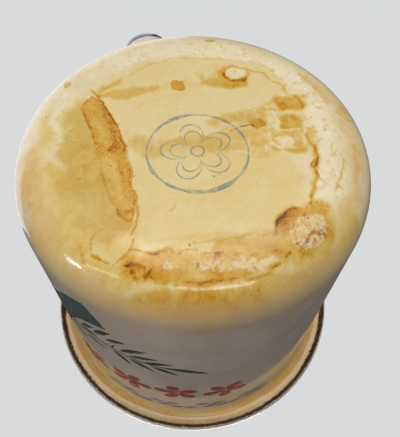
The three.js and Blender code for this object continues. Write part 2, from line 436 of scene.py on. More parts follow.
# Stain with a closer edge, from faint to nearly amber
SHADES = {
    "top_streak": (stroke(
        (-23.2, 11.0, 1.0), (-19.4, 11.2, 2.3), (-15.5, 12.2, 1.9), (-10.0, 13.8, 1.3),
    ), 0.46),
    "run_orange": (stroke(
        (-22.6, 7.5, 0.6), (-20.8, 3.5, 1.2), (-18.8, -1.0, 1.6), (-17.1, -6.0, 1.6),
        (-15.9, -11.0, 1.2), (-14.3, -16.0, 0.7), (-12.9, -19.5, 0.6),
    ), 0.66),
    "run_left_hem": (stroke(
        (-26.8, 6.2, 0.5), (-24.8, 1.5, 0.5), (-22.8, -3.5, 0.6), (-21.2, -8.0, 0.5),
    ), 0.62),
    "run_middle_spot": (ellipse((-17.8, -6.0), (2.2, 2.2), 0), 0.70),
    "left_spot_high": (ellipse((-24.4, -6.2), (1.8, 1.4), 0), 0.58),
    "left_spot_low": (ellipse((-23.4, -12.8), (1.5, 3.2), 10), 0.56),
    "drop_pool": (stroke(
        (2.2, 16.6, 1.3), (5.0, 16.4, 1.9), (8.4, 16.2, 2.3), (11.2, 16.6, 2.1), (12.4, 18.4, 1.0),
    ), 0.56),
    "drop_left_blob": (ellipse((4.9, 15.9), (1.9, 1.1), 0), 0.64),
    "drop_main_blob": (ellipse((9.6, 15.8), (2.8, 1.4), 6), 0.70),
    "drop_collar": (stroke((7.2, 22.8, 0.7), (6.2, 20.6, 1.2), (7.0, 18.2, 1.3)), 0.54),
    "right_patch": (stroke(
        (20.4, 11.0, 1.8), (22.0, 9.8, 3.2), (24.4, 9.8, 2.7), (25.0, 12.4, 1.1),
    ), 0.60),
    "right_patch_core": (ellipse((21.6, 8.9), (2.6, 2.0), 10), 0.70),
    "faint_patch": (ellipse((22.6, 3.3), (3.1, 2.7), 0, 3.0), 0.64),
    "right_bar": (stroke((20.6, -5.9, 0.6), (23.2, -5.8, 0.9), (25.8, -5.2, 0.6)), 0.62),
    "right_low_spot": (stroke((13.4, -6.2, 0.5), (16.6, -6.5, 0.8), (17.4, -5.4, 0.5)), 0.56),
    "right_low_patch": (ellipse((14.8, -3.2), (2.6, 2.0), 0), 0.54),
    "middle_patch_halo": (ellipse((15.2, 3.4), (2.6, 2.4), 0), 0.50),
    "pool_crescent": (stroke(
        (17.9, -28.0, 1.2), (19.6, -25.2, 2.6), (22.2, -22.6, 2.3), (25.6, -20.8, 1.0),
    ), 0.80),
    "pool_far": (stroke(
        (20.4, -30.4, 0.6), (24.6, -29.0, 1.3), (27.6, -26.6, 1.2), (28.7, -23.8, 0.6),
    ), 0.76),
    "pool_body": (ellipse((23.3, -25.9), (6.1, 4.3), 38), 0.58),
    "outer_blotch_high": (ellipse((36.2, 9.5), (1.6, 3.2), -20), 0.36),
    "outer_blotch_low": (stroke((37.4, -2.0, 1.0), (37.6, -8.0, 1.4), (36.0, -13.0, 0.8)), 0.38),
    "outer_blotch_top": (stroke((27.0, 20.5, 0.6), (31.0, 15.5, 1.0), (33.0, 11.0, 0.6)), 0.36),
    "ring_hem": (stroke(
        (26.4, -1.0, 0.5), (27.6, -5.0, 0.7), (27.4, -9.0, 0.8), (26.4, -14.0, 0.5),
        (25.6, -18.5, 0.5),
    ), 0.52),
    "band_dark": (stroke((-2.0, -32.6, 0.3), (2.5, -32.9, 0.5), (6.5, -32.3, 0.3)), 0.78),
    "band_low": (stroke(
        (-9.0, -37.0, 0.5), (0.0, -37.9, 0.6), (8.0, -37.2, 0.6), (15.0, -35.4, 0.6),
        (19.0, -32.4, 0.5),
    ), 0.70),
    "panel_low_tint": (stroke(
        (-9.0, -30.5, 0.5), (-2.0, -29.5, 1.2), (8.0, -28.6, 1.2), (15.0, -27.2, 0.8),
    ), 0.32),
    "loop_foot": (stroke((-20.4, -33.0, 0.5), (-17.0, -35.4, 0.7), (-13.0, -35.6, 0.7)), 0.50),
}
# Where the stain is a duller, greener brown
OLIVE = {
    "left": (stroke(
        (-27.0, 2.0, 3.0), (-26.0, -9.0, 5.0), (-22.0, -18.0, 6.0), (-16.5, -27.0, 4.5),
    ), 0.55),
    "band": (stroke((2.0, -30.8, 1.2), (10.0, -30.6, 2.0), (18.0, -29.4, 1.6)), 0.45),
    "stamp": (stroke((-12.0, -6.0, 1.5), (2.0, -5.0, 2.5), (12.0, 3.0, 3.5)), 0.4),
}
# Where the amber is thinner
LIGHTER = {
    "run_middle": (stroke(
        (-19.0, -9.6, 1.0), (-18.0, -13.0, 1.8), (-16.8, -17.0, 1.5), (-15.4, -20.2, 1.0),
    ), 0.20),
    "run_upper": (stroke((-23.6, 3.0, 0.6), (-21.6, -1.0, 1.0), (-20.6, -4.2, 0.7)), 0.14),
    "run_head": (ellipse((-25.0, 7.6), (1.6, 1.8), 0), 0.10),
}
# Where the enamel has a rosy tinge
BLUSH = {
    "outer_right": (stroke(
        (30.0, 19.5, 2.2), (35.5, 11.0, 2.8), (38.0, 2.0, 3.0), (38.4, -7.0, 3.0),
        (36.5, -15.0, 2.2),
    ), 0.8),
    "low_left": (stroke((-38, -6, 2.6), (-35, -17, 2.8), (-29, -27, 2.6)), 0.85),
    "top_left": (stroke((-36, 14, 2.0), (-29, 24, 2.4), (-18, 33, 2.4)), 0.5),
}
# Brown lines that drying water left
TIDE_LINES = {
    "run_edge": (hairline(
        (-25.6, 12.8), (-23.4, 10.2), (-20.3, 4.8), (-17.7, 0.4), (-15.7, -4.7), (-14.6, -8.5),
        (-13.4, -13.8), (-12.0, -18.6), (-10.9, -22.4), (-10.5, -26.0), (-11.0, -30.0),
        (-12.3, -33.8),
    ), 1.0),
    "foot_loop": (hairline(
        (-12.4, -33.8), (-14.5, -34.7), (-17.0, -34.3), (-19.3, -32.4), (-19.6, -29.0),
    ), 1.0),
    "foot_loop_upper": (hairline((-19.6, -29.0), (-17.6, -27.6), (-14.5, -28.4)), 0.4),
    "band_top": (hairline(
        (-11.3, -31.6), (-8.0, -33.0), (-5.5, -32.6), (0.0, -31.8), (4.0, -32.7), (7.0, -32.0),
    ), 1.0),
    "panel_foot": (hairline((1.0, -30.3), (8.0, -29.2), (12.0, -28.4), (17.0, -27.8)), 0.6),
    "band_foot": (hairline(
        (-9.0, -37.6), (0.0, -38.3), (8.0, -37.7), (14.8, -36.0), (18.0, -33.7), (20.0, -31.7),
    ), 0.75),
    "band_fan_a": (hairline((-12.0, -34.6), (-9.4, -38.6)), 0.8),
    "band_fan_b": (hairline((-11.4, -34.4), (-7.6, -36.8)), 0.6),
    "band_middle_a": (hairline((5.0, -33.6), (12.0, -32.4), (17.5, -31.0)), 0.35),
    "pool_edge": (hairline(
        (16.9, -28.2), (18.0, -25.0), (20.4, -22.0), (23.8, -20.2), (26.5, -19.4),
    ), 0.8),
    "pool_inner": (hairline((21.2, -26.8), (23.6, -23.9), (26.8, -22.8)), 0.7),
    "pool_spoke_a": (hairline((21.4, -29.6), (24.8, -27.0), (28.4, -25.2)), 0.8),
    "pool_spoke_b": (hairline((23.6, -29.4), (26.6, -26.6)), 0.6),
    "run_left": (hairline(
        (-27.2, 6.4), (-25.0, 2.0), (-22.6, -4.0), (-20.4, -10.5), (-18.4, -17.0), (-16.0, -21.8),
    ), 0.45),
    "flat_edge_left": (hairline(
        (-23.5, 12.2), (-18.4, 17.6), (-13.0, 22.6), (-6.0, 25.8), (2.0, 26.3), (9.0, 25.2),
    ), 0.34),
    "flat_edge_right": (hairline((12.8, 22.7), (17.0, 20.4), (20.5, 17.4), (22.4, 14.0)), 0.66),
    "flat_edge_far": (hairline((23.0, 13.4), (25.6, 12.0), (25.8, 8.0)), 0.5),
    "crack": (hairline((33.7, -6.0), (33.5, -10.0), (32.2, -13.4), (31.0, -17.6)), 0.85),
    "crack_side": (hairline((33.3, -10.5), (31.4, -14.2)), 0.7),
    "pale_edge": (hairline((27.5, 21.0), (30.0, 16.0), (32.0, 10.5), (33.8, 4.0), (33.4, -0.6)), 0.55),
    "outer_vein": (hairline((34.5, 8.0), (36.8, 6.0), (38.8, 7.0)), 0.5),
    "panel_right": (hairline(
        (26.2, -1.0), (28.0, -6.0), (27.4, -11.0), (26.6, -15.0), (25.6, -19.0),
    ), 0.7),
    "grey_contour": (hairline((-28.0, 16.0), (-25.5, 20.5), (-19.5, 25.0), (-12.0, 28.0)), 0.22),
    "patch_link": (hairline((8.6, -0.2), (11.0, 1.3), (14.0, 2.6)), 0.9),
    "panel_scratch": (hairline((-4.2, -22.8), (-3.2, -21.4)), 0.45),
    "panel_arc": (hairline((-15.0, 4.5), (-12.6, 8.5), (-9.0, 10.5)), 0.16),
}
# Where dried scale keeps the enamel chalky
PALE_ZONES = {
    "ring_right": (stroke(
        (12.0, 28.0, 2.4), (20.0, 23.5, 2.6), (26.5, 17.5, 2.6), (29.6, 9.0, 2.6), (30.4, 1.0, 2.5),
        (31.0, -8.0, 3.0), (29.6, -16.0, 2.6), (28.0, -20.0, 1.6),
    ), 0.95),
    "ring_top": (stroke((-26, 21, 3.4), (-14, 29.0, 3.4), (0, 31.0, 3.2), (12, 29.0, 3.2)), 0.8),
    "left_edge": (stroke((-31.5, 10, 1.8), (-31.6, 2, 1.8), (-30.8, -6, 1.4)), 0.7),
    "loop_inside": (ellipse((-16.0, -31.8), (2.8, 2.0), 0), 0.35),
    "corner_far_left": (stroke((-41, -4, 1.6), (-40, -14, 1.8), (-36, -22, 1.6)), 0.5),
    "corner_right": (stroke((41, -4, 1.6), (39.5, -14, 2.0), (36.5, -21, 1.6)), 0.4),
}
# Pale gaps through the thin stain
PALE_LINES = {
    "between_patches": (stroke((18.2, 6.2, 0.3), (21.6, 6.4, 0.35), (25.8, 6.3, 0.3)), 0.9),
    "by_faint_patch": (stroke((19.4, 5.6, 0.4), (19.0, 2.4, 0.5), (20.0, 0.8, 0.4)), 1.0),
    "under_faint_patch": (stroke((20.0, 0.8, 0.3), (22.4, 0.5, 0.35), (25.6, 0.9, 0.3)), 0.8),
    "right_of_patches": (stroke((25.9, 6.2, 0.3), (26.2, 2.0, 0.3), (25.4, -3.0, 0.3)), 0.7),
    "left_of_patches": (stroke((17.4, 6.6, 0.3), (17.9, 3.6, 0.4), (17.3, 0.6, 0.3)), 0.8),
    "round_drop": (stroke(
        (18.0, -0.6, 0.3), (17.6, -3.4, 0.35), (19.2, -5.0, 0.3), (22.6, -4.6, 0.3),
    ), 0.9),
    "low_spurs": (stroke((17.6, -3.4, 0.25), (16.2, -4.4, 0.25), (17.8, -6.4, 0.2)), 0.6),
}
# Thick, crumbly scale
SCALE_CRUSTS = {
    "band_left": (ellipse((-3.8, -35.2), (2.2, 0.9), 0), 0.84),
    "band_middle": (stroke((0.5, -35.0, 1.0), (4.5, -35.2, 1.5), (8.5, -34.9, 1.1)), 0.78),
    "band_right": (stroke((9.0, -34.8, 1.1), (13.5, -34.0, 1.3), (17.2, -32.6, 0.8)), 0.9),
    "band_speckle": (stroke(
        (-10, -34.5, 1.8), (0, -34.6, 2.4), (10, -33.6, 2.2), (18, -31.0, 1.4),
    ), 0.22),
    "pool": (ellipse((24.4, -26.4), (5.3, 3.6), 38), 0.80),
    "right_ring": (stroke(
        (26.5, 17.5, 1.4), (29.6, 9.0, 1.6), (30.4, 1.0, 1.8), (30.6, -9.0, 2.2),
    ), 0.34),
    "far_left_corner": (stroke((-33, -4, 1.5), (-32, -16, 2.0), (-26, -27, 1.6)), 0.22),
}
RING_STAIN = ellipse((10.1, 20.3), (2.9, 2.8), -18, 3.0)
RING_LINE = 0.8
PALE_DROP = ellipse((21.2, -2.7), (2.2, 1.8), -8, 2.2)
PATCHWORK = {"patches": (ellipse((17.5, 1.0), (11.5, 8.0), 0, 2.4), 1.0)}
# Where specks are thrown: the middle, how far they spread, how flat the zone is, how many.
FLECK_ZONES = {
    "ring_top_right": ((22.0, 20.0), 9.0, 1.0, 26),
    "ring_right": ((33.0, 3.0), 9.0, 1.0, 16),
    "ring_top_left": ((-20.0, 26.0), 9.0, 1.0, 10),
    "band": ((2.0, -34.5), 12.0, 0.25, 26),
    "run": ((-18.0, -8.0), 9.0, 1.0, 16),
    "stamp": ((4.0, -8.0), 10.0, 1.0, 10),
    "left": ((-29.0, -8.0), 12.0, 1.0, 12),
}
FLECK_SEED = 60
FLECK_RADII = (0.12, 0.34)
FLECK_LINE = 0.9

FAR = 9.0  # stands for a place that is too far off to matter
EDGE_REACH = 4.0  # how far from an outline its distance is kept


def flecks():
    """Small dark specks, thrown from a fixed seed, as (right, away, radius)."""
    thrown = np.random.RandomState(FLECK_SEED)
    found = []
    for (x, y), spread, flat, count in FLECK_ZONES.values():
        for _ in range(count):
            a, b = thrown.normal(0, spread / 2, 2)
            found.append((x + a, y + b * flat, thrown.uniform(*FLECK_RADII)))
    return found


def distance_to(shape, x, y):
    """Signed distance in millimetres from a shape's outline, negative inside."""
    if "points" in shape:
        best = np.full(len(x), 1e3)
        for (x0, y0, w0), (x1, y1, w1) in zip(shape["points"], shape["points"][1:]):
            run = (x1 - x0) ** 2 + (y1 - y0) ** 2
            t = np.clip(((x - x0) * (x1 - x0) + (y - y0) * (y1 - y0)) / run, 0, 1)
            d = np.hypot(x - x0 - t * (x1 - x0), y - y0 - t * (y1 - y0)) - (w0 + t * (w1 - w0))
            best = np.minimum(best, d)
        return best
    dx, dy = x - shape["at"][0], y - shape["at"][1]
    c, s = math.cos(shape["turn"]), math.sin(shape["turn"])
    a, b = np.abs(c * dx + s * dy), np.abs(c * dy - s * dx)
    power, (half_a, half_b) = shape["square"], shape["half"]
    reach = (a / half_a) ** power + (b / half_b) ** power
    return (reach ** (1 / power) - 1) * min(half_a, half_b)


def soft_step(value, low, high):
    t = np.clip((value - low) / (high - low), 0, 1)
    return t * t * (3 - 2 * t)


def drift(x, y, scale, seed):
    """Smooth noise in -1..1 at plan places."""
    return np.array([
        noise.noise(Vector((a * scale, b * scale, seed))) for a, b in zip(x, y)
    ])


def wandering(x, y, scale, reach, seed):
    """Plan places moved about by smooth noise, so that drawn shapes get natural outlines."""
    return (x + reach * drift(x, y, scale, seed), y + reach * drift(x, y, scale, seed + 9.3))


def strongest(shapes, places, outside, inside):
    """The strongest stain at each place. Its edge is soft, from outside to inside the outline."""
    level = np.zeros(len(places[0]))
    for shape, depth in shapes.values():
        level = np.maximum(level, depth * soft_step(-distance_to(shape, *places), outside, inside))
    return level


def nearest(found, count):
    """The smallest of the distances at each place, and the strength that comes with it."""
    best, level = np.full(count, FAR), np.zeros(count)
    for distances, strength in found:
        level = np.where(distances < best, strength, level)
        best = np.minimum(best, distances)
    return best, level


def outlines(shapes, places):
    return [(distance_to(shape, *places), strength) for shape, strength in shapes.values()]


def stain_fields(x, y):
    """What the stains do at each plan place (x, y) of the base and its rounded edge."""
    coarse = wandering(x, y, 0.26, 1.0, 3.1)
    near = wandering(*wandering(x, y, 0.33, 0.8, 3.1), 1.15, 0.35, 7.7)
    loose = wandering(*wandering(*coarse, 0.16, 2.4, 21.0), 0.7, 0.9, 13.0)
    edge, amber = nearest(outlines(AMBER_STAINS, near), len(x))
    ring = distance_to(RING_STAIN, *near)
    lines = outlines(TIDE_LINES, near) + [(np.abs(ring), RING_LINE)]
    lines += [(np.hypot(x - a, y - b) / (radius * 3), FLECK_LINE) for a, b, radius in flecks()]
    tide, tide_level = nearest(lines, len(x))
    drops = np.minimum(ring + 0.4, distance_to(PALE_DROP, *near))
    dry = soft_step(-drops, -0.2, 0.5)
    wash = strongest(WASHES, loose, -1.8, 1.3)
    wash = np.maximum(wash, strongest(SHADES, near, -0.7, 0.9)) * (1 - 0.75 * dry)
    on_run = soft_step(-distance_to(AMBER_STAINS["long_run"][0], *near), -0.1, 0.3)
    return {
        "amber_edge": np.clip(np.maximum(edge, -drops), -EDGE_REACH, EDGE_REACH),
        "amber": amber - strongest(LIGHTER, near, -0.7, 0.9),
        "froth": on_run * soft_step(distance_to(AMBER_STAINS["run_end"][0], *near), -0.2, 0.6),
        "wash": wash * (1 - 0.62 * strongest(PALE_LINES, near, -0.45, 0.2)),
        "pale": np.maximum(strongest(PALE_ZONES, loose, -1.1, 0.7), 0.7 * dry),
        "crust": strongest(SCALE_CRUSTS, near, -0.8, 0.7),
        "olive": strongest(OLIVE, loose, -1.8, 1.8),
        "blush": strongest(BLUSH, loose, -1.6, 1.6),
        "patchwork": strongest(PATCHWORK, loose, -1.5, 1.5),
        "tide": np.clip(tide, 0, EDGE_REACH),
        "tide_level": tide_level,
    }


# ---------------------------------------------------------------- the cup
CUP_TURNS = 480
OUTER_STEPS = {"base": 76, "corner": 22, "wall": 18, "fillet": 10, "roll": 18}
INNER_STEPS = {"base": 8, "corner": 12, "wall": 10, "fillet": 8, "roll": 12}
STAINED_UP_TO = CORNER_RADIUS + 4
BEAD_SEEN = (-2, 120)  # degrees of the roll, from its free edge, that bear on the groove
# How far the dark band of rust and painted shade reaches onto the bead and the flange.
DARK_BAND_ON_BEAD = 0.25
DARK_BAND_ON_FLANGE = 0.45
CRUST_PROUD = 0.08
CRUST_LUMPS = 0.05


def arc(cx, cy, radius, start, end, steps):
    """Points of an arc with their outward directions, angles in degrees."""
    found = []
    for i in range(steps + 1):
        angle = math.radians(start + (end - start) * i / steps)
        out = (math.cos(angle), math.sin(angle))
        found.append(((cx + radius * out[0], cy + radius * out[1]), out))
    return found


def cup_midline(base, corner, wall, fillet, roll):
    """The middle of the sheet from the axis to the end of the roll, with outward directions.

    The numbers say how many steps each stretch has.
    """
    half = SHEET / 2
    line = [((FLAT_RADIUS * i / base, half), (0, -1)) for i in range(base)]
    line += arc(FLAT_RADIUS, CORNER_RADIUS, CORNER_RADIUS - half, -90, 0, corner)
    top = CUP_HEIGHT - half
    fillet_radius = RIM_FILLET_RADIUS + half
    wall_top = top - fillet_radius
    for i in range(1, wall):
        height = CORNER_RADIUS + (wall_top - CORNER_RADIUS) * (i / wall)
        line.append(((BODY_RADIUS - half, height), (1, 0)))
    roll_middle = ROLL_RADIUS - half
    hollow = arc(BODY_RADIUS + RIM_FILLET_RADIUS, wall_top, fillet_radius, 180, 90, fillet)
    bead = arc(ROLL_CENTRE, top - roll_middle, roll_middle, 90, 90 - ROLL_TURN, roll)
    line += [(at, (-out[0], -out[1])) for at, out in hollow]
    line.append(((ROLL_CENTRE - FLANGE_FLAT / 2, top), (0, -1)))
    return line + [(at, (-out[0], -out[1])) for at, out in bead]


def offset(line, shift):
    return [(at[0] + out[0] * shift, at[1] + out[1] * shift) for at, out in line]


def mesh_object(name, places, faces):
    mesh = bpy.data.meshes.new(name)
    mesh.from_pydata((np.asarray(places, float) * MM).tolist(), [], faces)
    mesh.validate()
    mesh.shade_smooth()
    made = bpy.data.objects.new(name, mesh)
    bpy.context.scene.collection.objects.link(made)
    return made


def revolved(name, profile, turns):
    """A closed mesh turned about Z from a profile that starts and ends on the axis."""
    inner = np.array(profile[1:-1])
    angles = 2 * np.pi * np.arange(turns) / turns
    ring = np.stack([np.cos(angles), np.sin(angles)], 1)
    points = np.empty((len(inner), turns, 3))
    points[..., :2] = inner[:, None, :1] * ring[None]
    points[..., 2] = inner[:, None, 1]
    first, last = len(inner) * turns, len(inner) * turns + 1
    places = np.vstack([points.reshape(-1, 3), [[0, 0, profile[0][1]], [0, 0, profile[-1][1]]]])
    faces = []
    for i in range(turns):
        j = (i + 1) % turns
        faces.append((first, j, i))
        end = (len(inner) - 1) * turns
        faces.append((last, end + i, end + j))
        for r in range(len(inner) - 1):
            a, b = r * turns, (r + 1) * turns
            faces.append((a + i, a + j, b + j, b + i))
    return mesh_object(name, places, faces), places


def move_points(made, places):
    made.data.vertices.foreach_set("co", (places * MM).astype(np.float32).ravel())
    made.data.update()


def add_field(made, name, values):
    held = made.data.attributes.new(name, "FLOAT", "POINT")
    held.data.foreach_set("value", np.asarray(values, np.float32))


def groove_distance(radius, height, outside):
    """Millimetres along the surface from the dark band in the open groove of the rolled rim: rusty
    bare steel with painted shade.
    """
    along, up = radius - ROLL_CENTRE, height - (CUP_HEIGHT - ROLL_RADIUS)
    turn = np.degrees(np.arctan2(up, along)) - (90 - ROLL_TURN)
    seen = (turn > BEAD_SEEN[0]) & (turn < BEAD_SEEN[1]) & (along > 0)
    on_bead = np.where(seen, np.radians(turn) * ROLL_RADIUS - DARK_BAND_ON_BEAD, FAR)
    near_rim = height > CUP_HEIGHT - 2 * ROLL_RADIUS - SHEET
    on_flange = np.where(near_rim, np.maximum(0, ROLL_CENTRE - radius) + DARK_BAND_ON_FLANGE, FAR)
    return np.clip(np.where(outside, on_flange, on_bead), 0, FAR)


def build_cup():
    outer = offset(cup_midline(**OUTER_STEPS), SHEET / 2)
    inner = offset(cup_midline(**INNER_STEPS), -SHEET / 2)
    cup, places = revolved("cup_shell_enamelled", outer + inner[::-1], CUP_TURNS)
    x, y = plan_in_turned_over(places)
    outside = np.zeros(len(places), bool)
    outside[:(len(outer) - 1) * CUP_TURNS] = True
    outside[len(places) - 2] = True
    stained = outside & (places[:, 2] < STAINED_UP_TO)
    fields = stain_fields(x[stained], y[stained])
    for name, values in fields.items():
        whole = np.full(len(places), EDGE_REACH if name in ("amber_edge", "tide") else 0.0)
        whole[stained] = values
        add_field(cup, name, whole)
    add_field(cup, "outside", outside.astype(float))
    radius = np.hypot(places[:, 0], places[:, 1])
    add_field(cup, "groove", groove_distance(radius, places[:, 2], outside))
    crust = np.zeros(len(places))
    crust[stained] = fields["crust"]
    lumps = crust > 0.02
    proud = CRUST_PROUD + CRUST_LUMPS * drift(x[lumps], y[lumps], 1.3, 5.0)
    places[lumps, 2] -= crust[lumps] * proud
    move_points(cup, places)
    return cup


# ---------------------------------------------------------------- materials of the cup
STAMP_MIDDLE = (1.0, -6.5)
STAMP_RADIUS = 11.5
STAMP_HEART = 1.5

STAMP_BLUE = "54788a"
BLUSH_PINK = "e4be98"
DULL_OLIVE = "c2a765"
SCALE_WHITE = "ecdcb4"
CORNER_BUFF = "cfb080"
# RIM_GOLD is stain on the flange, brightened as a painted yellow reflection.
RIM_GOLD = "dcae50"
PIN_DIRT = "6a5434"
BLED_RUST = "8a5a30"
STAIN_TINTS = [
    (0.0, "ecdfc0"), (0.18, "e7d39e"), (0.38, "dfbf70"), (0.56, "d8ab4a"), (0.70, "d09726"),
    (0.84, "b66f10"), (1.0, "7c4814"),
]


def stamp_ink(s, place):
    """The printed mark under the base: a ring round a double-outlined blossom, half worn away."""
    parts = s.parts(s.vector("SUBTRACT", place, turned_over(*STAMP_MIDDLE) / MM))
    squares = s.plus(s.math("POWER", parts["X"], 2.0), s.math("POWER", parts["Y"], 2.0))
    radius = s.math("SQRT", squares)
    angle = s.math("ARCTAN2", parts["Y"], parts["X"])
    ring_half = s.span(s.noise(place, 0.13, 1.0), 0.42, 0.66, 0.16, 0.62)
    ring = s.span(s.minus(s.distance(radius, STAMP_RADIUS), ring_half), -0.08, 0.14, 1.0, 0.0)
    lobe = s.math("ABSOLUTE", s.math("COSINE", s.times(angle, 2.5)))
    petal = s.plus(s.times(s.math("POWER", lobe, 0.7), 5.2), 3.2)
    petals = s.math(
        "MINIMUM", s.distance(radius, petal), s.distance(radius, s.times(petal, 0.74)))
    drawn = s.math("MINIMUM", petals, s.distance(radius, STAMP_HEART))
    blossom = s.span(drawn, 0.10, 0.30, 1.0, 0.0)
    worn = s.times(s.span(s.noise(place, 0.35, 4.0, 0.7), 0.34, 0.58, 0.25, 1.0),
                   s.span(s.noise(place, 2.6, 2.0), 0.3, 0.55, 0.55, 1.0))
    under_base = s.span(s.math("ABSOLUTE", parts["Z"]), 0.8, 1.0, 1.0, 0.0)
    return s.times(s.math("MAXIMUM", ring, blossom), worn, under_base)


def cup_looks(s, mottle, place):
    """What the parts of the cup's finish share: clouds of three sizes, dust, the drips down
    the corner, and low, which is 1 on the base and fades out up the wall."""
    parts = s.parts(place)
    at = SimpleNamespace(
        place=place, height=parts["Z"], outside=s.field("outside"),
        cloud=clouded(s, mottle, place, 8.0, 0.45), grain=clouded(s, mottle, place, 1.7, 0.5),
        broad=clouded(s, mottle, place, 19.0, 0.25), dust=s.noise(place, 3.2, 3.0, 0.7),
    )
    angle = s.math("ARCTAN2", parts["Y"], parts["X"])
    drip_place = s.node("ShaderNodeCombineXYZ", {
        "X": s.times(s.math("COSINE", angle), BODY_RADIUS),
        "Y": s.times(s.math("SINE", angle), BODY_RADIUS),
        "Z": s.times(at.height, 0.25),
    }).outputs[0]
    drips = s.span(s.noise(drip_place, 0.55, 4.0, 0.65), 0.32, 0.68, smooth=False)
    at.drips = s.minus(drips, 0.5)
    ragged = s.plus(s.times(s.minus(at.cloud, 0.5), 3.0), s.times(at.drips, 2.5))
    at.foot = s.plus(at.height, ragged)
    at.low = s.times(s.span(at.foot, 4.5, 13.5, 1.0, 0.0), at.outside)
    at.pale = s.times(s.field("pale"), s.span(at.cloud, 0.05, 0.5, 0.6, 1.0))
    return at


def bare_enamel(s, at, crackle):
    """The enamel before it is stained: cooler on the wall, cream low down, chalky where pale."""
    clean = s.ramp(at.broad, [(0.2, "dcd0c0"), (0.8, "cfc1af")])
    cream = s.ramp(at.cloud, [(0.1, "eedfbd"), (0.9, "e6d3a8")])
    flakes = net(s, crackle, at.place, 1.5, 1.2)["Cells"]
    chalky = s.mix(s.times(flakes, 0.9), srgb("f6ebd3"), srgb("ebdcba"))
    return s.mix(s.times(at.pale, at.low), s.mix(at.low, clean, cream), chalky)


def wash_level(s, at, crackle):
    """Thin stain: cloudy, dusty, run down the corner, lighter between patches and in veins."""
    drawn = s.field("wash")
    cloudy = s.times(drawn, s.span(at.cloud, 0.0, 1.0, 0.70, 1.22))
    dusty = s.times(drawn, s.span(at.dust, 0.3, 0.7, -0.16, 0.16))
    on_corner = s.times(s.span(at.height, 0.6, 4.0), s.span(at.height, 8.0, 14.0, 1.0, 0.0))
    runs = s.times(at.drips, s.times(on_corner, 0.12), s.span(drawn, 0.0, 0.4, 0.25, 1.0))
    gaps = s.times(net(s, crackle, at.place, 4.0, 4.2)["Lines"], s.field("patchwork"), 0.15)
    patchy = s.span(s.noise(at.place, 0.5, 3.0), 0.45, 0.6)
    veins = s.times(net(s, crackle, at.place, 4.6, 5.5)["Lines"], at.pale, patchy, 0.30)
    return s.plus(s.minus(s.plus(cloudy, dusty, runs), gaps), veins)


def amber_level(s, at):
    """Thick stain that dried with a darker rim. Leaves what it covers in at.covered."""
    ragged = s.plus(s.field("amber_edge"), s.span(at.dust, 0.2, 0.8, -0.30, 0.30, smooth=False))
    at.covered = s.span(ragged, -0.16, 0.12, 1.0, 0.0)
    rim = s.times(s.span(ragged, -0.50, -0.10), at.covered, 0.09)
    body = s.times(s.field("amber"), s.span(at.grain, 0.0, 1.0, 0.84, 1.10))
    body = s.minus(body, s.times(s.span(ragged, -2.4, -0.9, 1.0, 0.0), 0.05))
    return s.times(s.plus(body, rim), at.covered)


def froth_level(s, at, crackle):
    """Burst bubbles with dark rings, froth and pores on the long run, over the stain there.

    Leaves the bubbles in at.bubbles.
    """
    frothy = s.field("froth")
    bubbly = s.times(at.covered, frothy, s.span(at.broad, 0.40, 0.55))
    away = s.voronoi(at.place, 0.62)["Distance"]
    at.bubbles = s.times(s.span(away, 0.16, 0.20, 1.0, 0.0), bubbly)
    rings = s.times(s.span(away, 0.18, 0.22), s.span(away, 0.24, 0.32, 1.0, 0.0), bubbly)
    froth = s.times(net(s, crackle, at.place, 0.9, 0.6)["Lines"], frothy)
    pores = s.times(s.span(s.noise(at.place, 2.4, 3.0, 0.7), 0.50, 0.66), frothy)
    darker = s.plus(s.times(rings, 0.12), s.times(froth, 0.12), s.times(pores, 0.17))
    return s.minus(darker, s.times(at.bubbles, 0.25))


def tide_level(s, at, stain):
    """Brown lines of uneven width where the stain dried at its edge, weaker on thick stain."""
    broken = s.span(s.noise(at.place, 0.7, 4.0, 0.7), 0.32, 0.52, 0.72, 1.0)
    half = s.span(s.noise(at.place, 0.35, 2.0), 0.35, 0.65, 0.21, 0.34)
    line = s.span(s.minus(s.field("tide"), half), -0.12, 0.22, 1.0, 0.0)
    weight = s.span(stain, 0.45, 0.85, 0.42, 0.30)
    return s.times(line, broken, s.field("tide_level"), weight)


def stain_level(s, at, crackle):
    """How deep the whole stain is, from 0 to 1. Leaves the tide lines in at.tide."""
    stain = s.math("MAXIMUM", wash_level(s, at, crackle), amber_level(s, at))
    specks = s.times(s.span(s.noise(at.place, 1.9, 3.0, 0.6), 0.66, 0.74), 0.26)
    specks = s.times(specks, s.span(at.cloud, 0.4, 0.9, 0.1, 1.0))
    dusty = s.times(s.span(at.dust, 0.3, 0.7, -1.0, 1.0), 0.022)
    stain = s.plus(stain, froth_level(s, at, crackle), specks, dusty)
    at.tide = tide_level(s, at, stain)
    return s.math("ADD", stain, at.tide, clamp=True)


def stained(s, at, enamel, stain):
    """The enamel under its stain, rosy and dull olive in places."""
    coloured = s.mix(s.times(s.span(stain, 0.0, 0.16), at.low), enamel, s.ramp(stain, STAIN_TINTS))
    rosy = s.times(s.field("blush"), at.low, s.span(at.grain, 0.1, 0.9, 0.0, 0.75))
    coloured = s.mix(rosy, coloured, srgb(BLUSH_PINK))
    dull = s.times(s.field("olive"), at.low, s.span(at.broad, 0.0, 1.0, 0.35, 1.0),
                   s.span(at.covered, 0.0, 1.0, 1.0, 0.25))
    return s.mix(dull, coloured, srgb(DULL_OLIVE))


def scale_masks(s, at):
    """Crumbs of dried scale, and how much white they show between their cracks."""
    drawn = s.field("crust")
    crumbs = s.plus(s.times(drawn, 0.6), s.noise(at.place, 1.1, 6.0, 0.74))
    crust = s.times(s.span(crumbs, 0.84, 1.04), s.span(drawn, 0.02, 0.3))
    pin_cracks = s.span(s.noise(at.place, 1.3, 4.0, 0.75, 0.6), 0.56, 0.66)
    cracks = s.plus(at.tide, s.times(pin_cracks, 0.25))
    return crust, s.times(crust, s.span(cracks, 0.02, 0.25, 0.84, 0.30))


